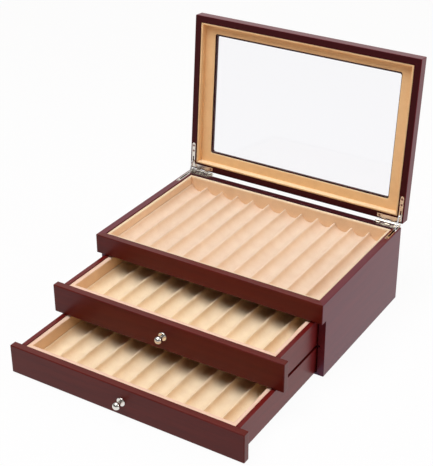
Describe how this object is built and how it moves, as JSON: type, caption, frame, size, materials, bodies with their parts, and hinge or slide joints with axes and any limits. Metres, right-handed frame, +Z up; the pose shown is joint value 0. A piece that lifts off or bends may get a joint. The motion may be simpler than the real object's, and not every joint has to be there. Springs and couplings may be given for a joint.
{
  "type": "pen collector chest",
  "caption": "Lacquered wooden pen chest with a glazed lid on stay hinges, a grooved top tray and grooved drawers with ball knobs.",
  "frame": {"origin": "middle of the case's footprint, on the surface the chest stands on", "axes": "+Z up, -Y out of the drawers' fronts, +X to the right of someone facing the fronts"},
  "size_m": [0.34, 0.467, 0.3434],
  "materials": {
    "lacquered_wood": "gloss lacquer",
    "board": "satin lacquer",
    "suede": "short nap suede",
    "felt": "felt",
    "glass": "clear",
    "nickel": "polished nickel plate",
    "polished_knob": "polished",
    "steel_screw": "plain"
  },
  "bodies": {
    "case": {"case_side_left": "lacquered_wood", "case_side_right": "lacquered_wood", "case_back": "lacquered_wood", "front_rail": "lacquered_wood", "case_bottom": "board", "drawer_divider": "board", "tray_deck": "board", "base_felt": "felt", "drawer_guides": "lacquered_wood", "top_liner_front": "suede", "top_liner_rear": "suede", "top_liner_left": "suede", "top_liner_right": "suede", "top_tray_insert": "suede", "hinge_case_leaf_left": "nickel", "hinge_case_leaf_right": "nickel", "hinge_pin_left": "nickel", "hinge_pin_right": "nickel", "hinge_case_screws": "nickel"},
    "lid": {"lid_rail_front": "lacquered_wood", "lid_rail_rear": "lacquered_wood", "lid_rail_left": "lacquered_wood", "lid_rail_right": "lacquered_wood", "lid_glass": "glass", "window_retainer": "suede", "lid_liner_front": "suede", "lid_liner_rear": "suede", "lid_liner_left": "suede", "lid_liner_right": "suede", "hinge_lid_leaf_left": "nickel", "hinge_lid_leaf_right": "nickel", "hinge_lid_screws": "nickel", "stay_rivets": "nickel"},
    "stay_left": {"stay_link_left": "nickel"},
    "stay_right": {"stay_link_right": "nickel"},
    "upper_drawer": {"upper_drawer_front": "lacquered_wood", "upper_drawer_side_left": "lacquered_wood", "upper_drawer_side_right": "lacquered_wood", "upper_drawer_back": "lacquered_wood", "upper_drawer_bottom": "board", "upper_drawer_liner_front": "suede", "upper_drawer_liner_rear": "suede", "upper_drawer_liner_left": "suede", "upper_drawer_liner_right": "suede", "upper_drawer_tray_insert": "suede", "upper_drawer_knob": "polished_knob", "upper_drawer_knob_screw": "steel_screw"},
    "lower_drawer": {"lower_drawer_front": "lacquered_wood", "lower_drawer_side_left": "lacquered_wood", "lower_drawer_side_right": "lacquered_wood", "lower_drawer_back": "lacquered_wood", "lower_drawer_bottom": "board", "lower_drawer_liner_front": "suede", "lower_drawer_liner_rear": "suede", "lower_drawer_liner_left": "suede", "lower_drawer_liner_right": "suede", "lower_drawer_tray_insert": "suede", "lower_drawer_knob": "polished_knob", "lower_drawer_knob_screw": "steel_screw"}
  },
  "joints": [
    {"name": "lid_hinge", "type": "hinge", "parent": "case", "child": "lid", "pos_m": [0, 0.1175, 0.1124], "axis": [-1, 0, 0], "range_deg": [-95, 0]},
    {"name": "stay_left_pivot", "type": "hinge", "parent": "lid", "child": "stay_left", "pos_m": [-0.164, 0.11643, 0.12655], "axis": [-1, 0, 0], "range_deg": [0, 155]},
    {"name": "stay_right_pivot", "type": "hinge", "parent": "lid", "child": "stay_right", "pos_m": [0.164, 0.11643, 0.12655], "axis": [-1, 0, 0], "range_deg": [0, 155]},
    {"name": "upper_drawer_slide", "type": "slide", "parent": "case", "child": "upper_drawer", "axis": [0, -1, 0], "range_m": [-0.094, 0.094]},
    {"name": "lower_drawer_slide", "type": "slide", "parent": "case", "child": "lower_drawer", "axis": [0, -1, 0], "range_m": [-0.184, 0.004]}
  ],
  "couplings": [
    {"joint": "stay_left_pivot", "follows": "lid_hinge", "ratio": -1.6311},
    {"joint": "stay_right_pivot", "follows": "lid_hinge", "ratio": -1.6311}
  ]
}
